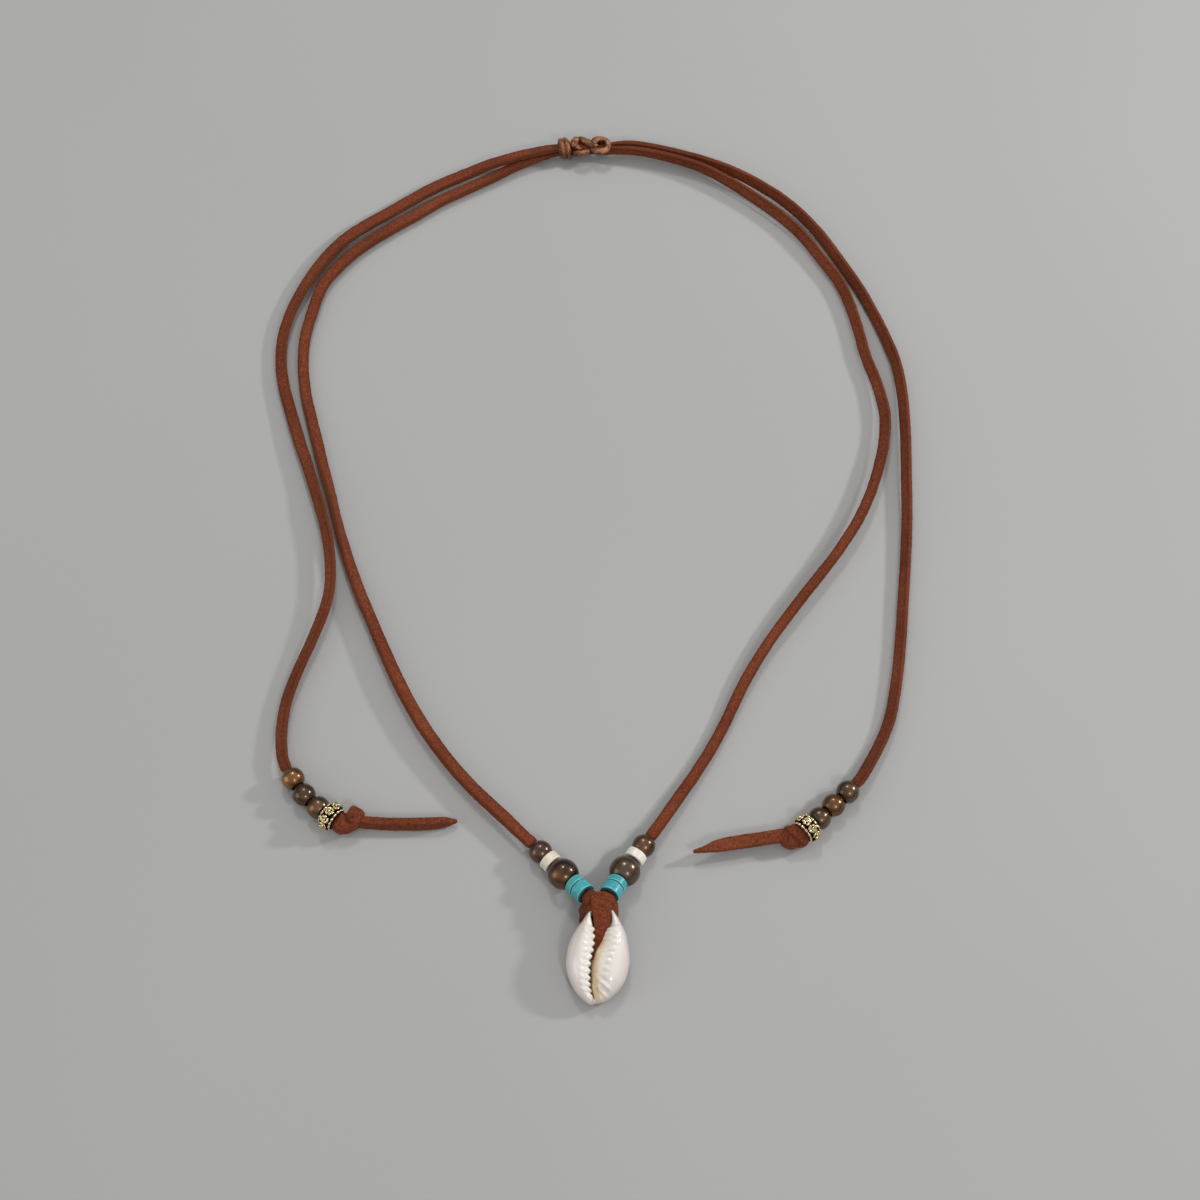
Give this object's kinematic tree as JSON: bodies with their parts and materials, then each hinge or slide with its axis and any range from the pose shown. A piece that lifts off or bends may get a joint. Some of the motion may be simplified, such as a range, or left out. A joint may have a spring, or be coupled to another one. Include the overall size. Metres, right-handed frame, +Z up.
{
  "type": "suede lace shell necklace with a sliding knot",
  "caption": "Adjustable necklace: a suede lace hitched to a cut-back cowrie shell, strung with beads and discs, closed by a sliding cord knot, with beaded and knotted lace ends.",
  "frame": {"origin": "on the surface the necklace lies on, below the middle of its outline", "axes": "+Y from the shell to the sliding knot, +Z up from the surface, +X to the right seen from above with the shell at the bottom"},
  "size_m": [0.1787, 0.2609, 0.0096],
  "materials": {
    "shell": null,
    "suede": "suede nap, cut edges",
    "turquoise": null,
    "bead": null,
    "white_disc": null,
    "gold": "antiqued pale gold, dark in the recesses",
    "waxed_cord": "waxed, slightly glossy"
  },
  "bodies": {
    "root": {"cowrie_shell": "shell", "lace_hitch": "suede", "lace_left_half": "suede", "lace_right_half": "suede", "turquoise_disc_left_1": "turquoise", "turquoise_disc_left_2": "turquoise", "turquoise_disc_right_1": "turquoise", "turquoise_disc_right_2": "turquoise", "large_bead_left": "bead", "large_bead_right": "bead", "white_disc_left": "white_disc", "white_disc_right": "white_disc", "small_bead_left": "bead", "small_bead_right": "bead", "sliding_knot": "waxed_cord", "end_bead_left_1": "bead", "end_bead_left_2": "bead", "end_bead_left_3": "bead", "end_bead_right_1": "bead", "end_bead_right_2": "bead", "end_bead_right_3": "bead", "gold_spacer_left": "gold", "gold_spacer_right": "gold", "end_knot_left": "suede", "end_knot_right": "suede"}
  },
  "joints": []
}
